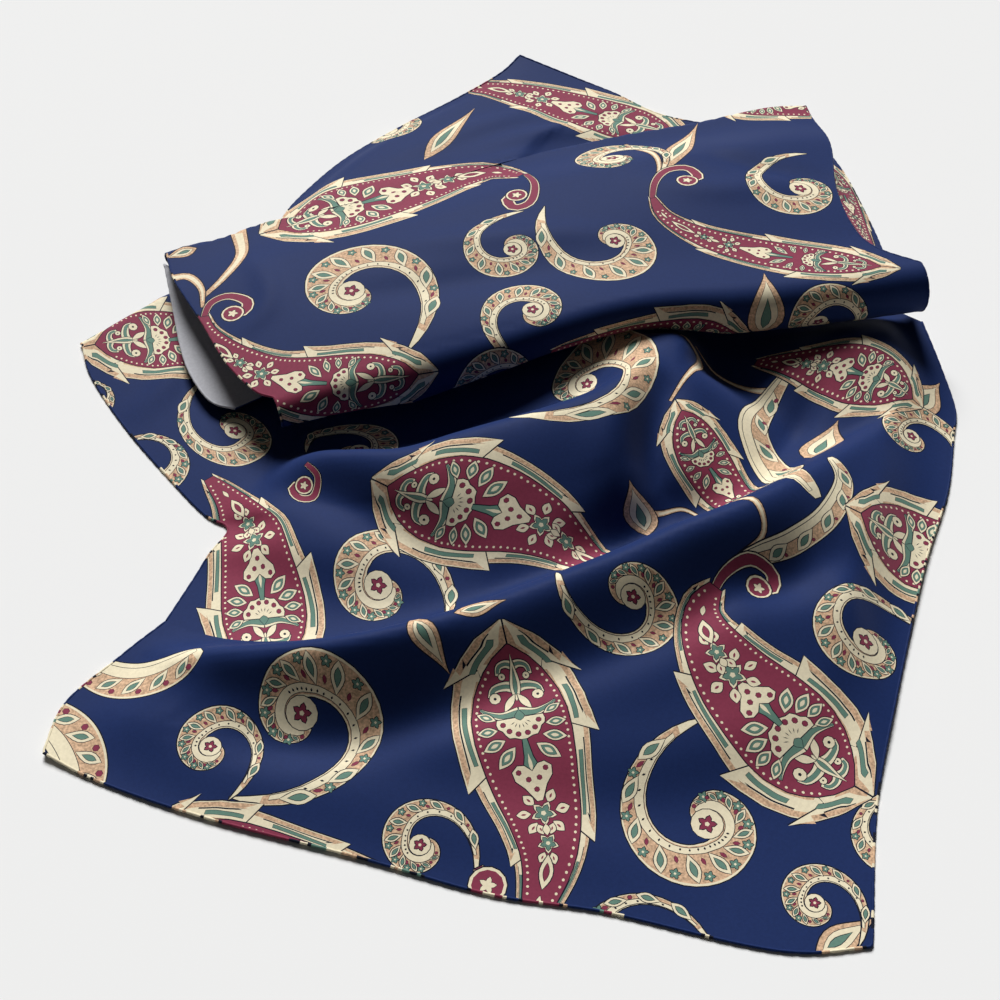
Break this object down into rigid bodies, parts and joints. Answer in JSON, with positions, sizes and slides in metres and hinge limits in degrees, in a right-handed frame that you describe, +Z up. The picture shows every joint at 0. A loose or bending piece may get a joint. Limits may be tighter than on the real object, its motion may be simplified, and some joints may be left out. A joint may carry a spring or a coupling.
{
  "type": "oblong silk scarf",
  "caption": "Oblong printed silk scarf dropped in a loose heap of zigzag folds on a flat surface, one end spread to the front.",
  "frame": {"origin": "middle of the heap's footprint, on the surface that it lies on", "axes": "+Z up from the surface, +Y from the spread front end towards the back end, +X to the viewer's right"},
  "size_m": [0.3604, 0.491, 0.0351],
  "materials": {
    "silk_face": "navy silk with a soft sheen and a leaf-and-scroll print in cream, tan, burgundy and green",
    "silk_wrong_side": "pale grey wrong side of the printed silk, with the navy showing through"
  },
  "bodies": {
    "root": {"front_end": "silk_face", "middle_fold": "silk_face", "upper_fold": "silk_face", "turned_layer": "silk_wrong_side", "side_layer": "silk_face", "back_end": "silk_face", "hidden_layers": "silk_face"}
  },
  "joints": []
}
